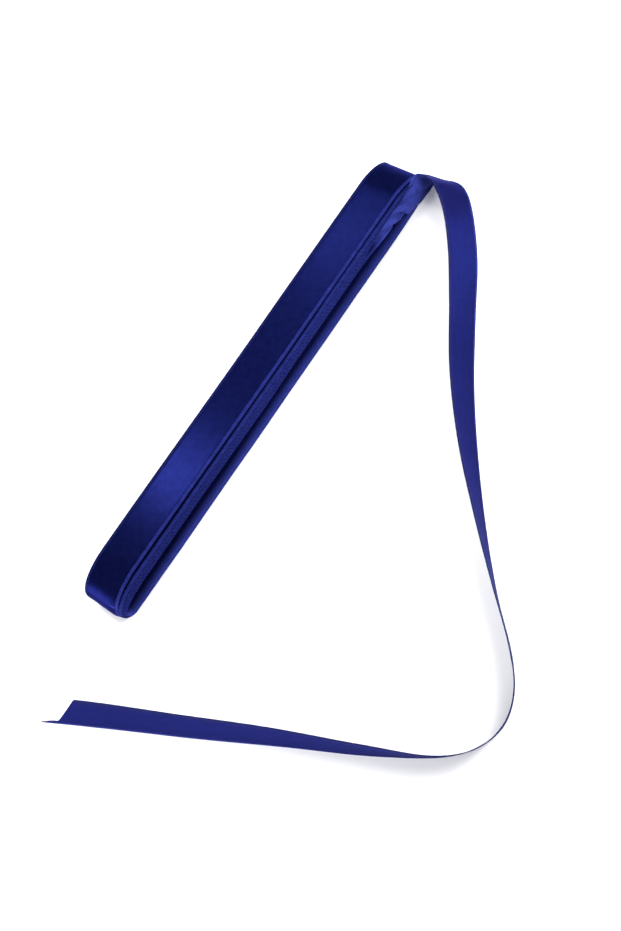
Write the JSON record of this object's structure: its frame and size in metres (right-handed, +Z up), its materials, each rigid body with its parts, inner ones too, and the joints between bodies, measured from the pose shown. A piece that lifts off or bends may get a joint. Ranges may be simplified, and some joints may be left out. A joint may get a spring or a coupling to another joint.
{
  "type": "hank of satin ribbon",
  "caption": "Flat-wound hollow hank of narrow blue satin ribbon lying on its side, its loose end standing on edge and curving round in front.",
  "frame": {"origin": "on the surface the hank lies on, under the middle of its lower run", "axes": "+X along the hank towards the end the loose end leaves, -Y towards the side the loose end lies on, +Z up"},
  "size_m": [0.181, 0.1165, 0.012],
  "materials": {
    "hank": "royal blue polyester satin, woven selvedges, soft sheen",
    "tail": "royal blue polyester satin, woven selvedges, soft sheen, cut end"
  },
  "bodies": {
    "root": {"hank": "hank", "tail": "tail"}
  },
  "joints": []
}
